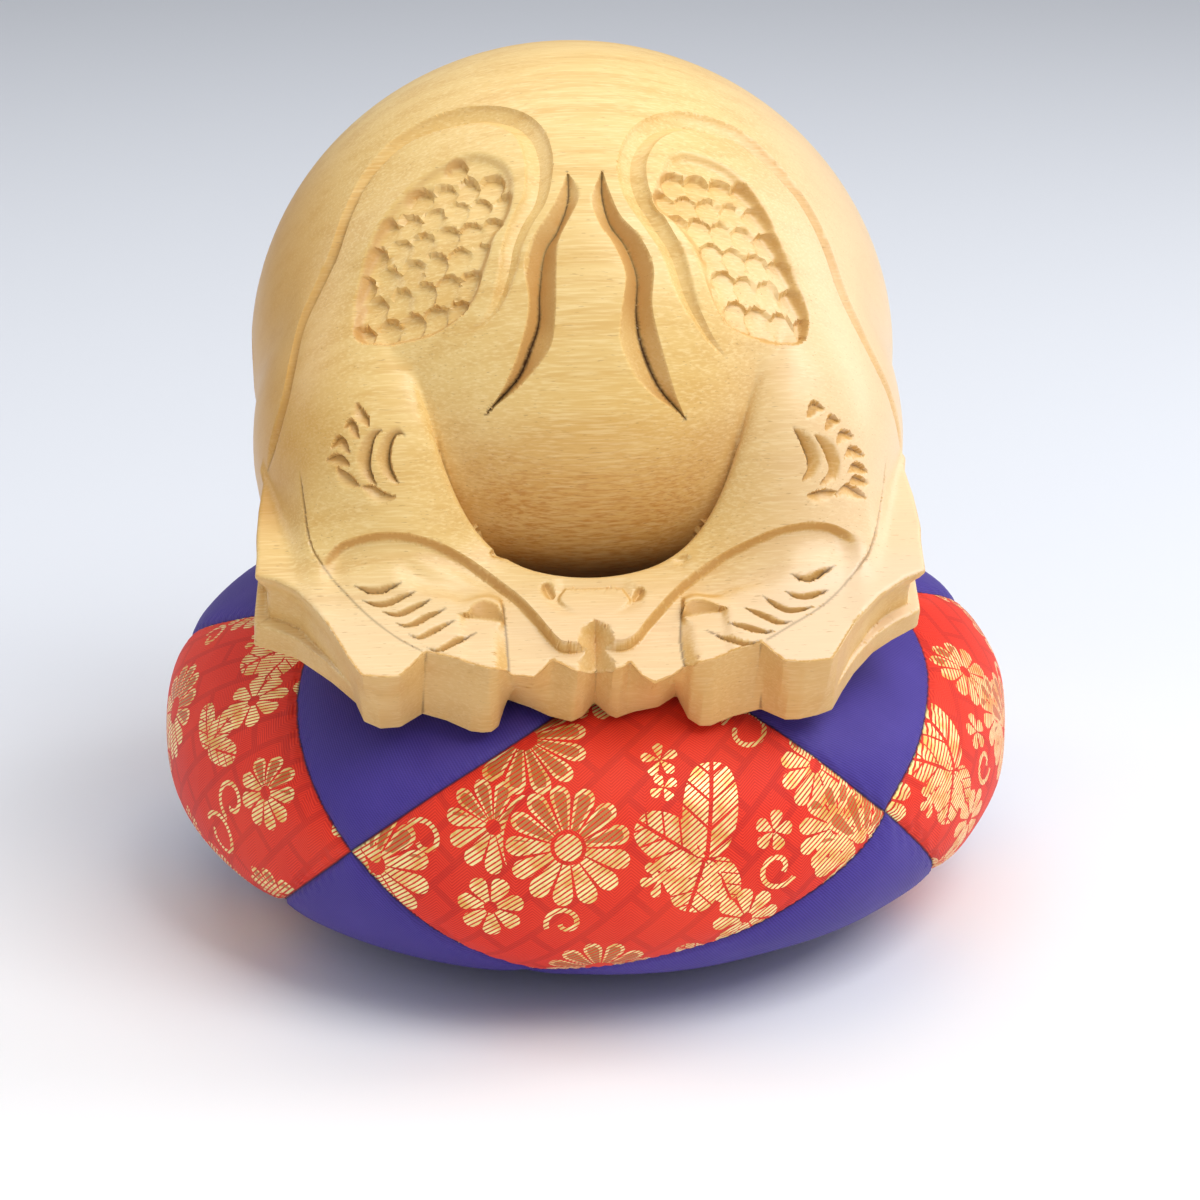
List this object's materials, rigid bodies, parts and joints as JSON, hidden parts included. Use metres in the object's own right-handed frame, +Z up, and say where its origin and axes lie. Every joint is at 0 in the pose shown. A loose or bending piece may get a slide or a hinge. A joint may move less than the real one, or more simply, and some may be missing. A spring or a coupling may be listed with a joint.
{
  "type": "mokugyo",
  "caption": "Carved wooden fish drum, hollow with a mouth slit and a pierced dragon handle, resting nose down in a round patchwork cushion.",
  "frame": {"origin": "on the table under the middle of the cushion", "axes": "+Z up, -Y towards the carved handle, +Y towards the mouth slit, +X to the right seen from the handle"},
  "size_m": [0.1216, 0.1216, 0.1205],
  "materials": {
    "wood": "satin polish over fine grain",
    "brocade": "red and gold brocade with purple satin patches"
  },
  "bodies": {
    "root": {"mokugyo": "wood", "cushion": "brocade"}
  },
  "joints": []
}
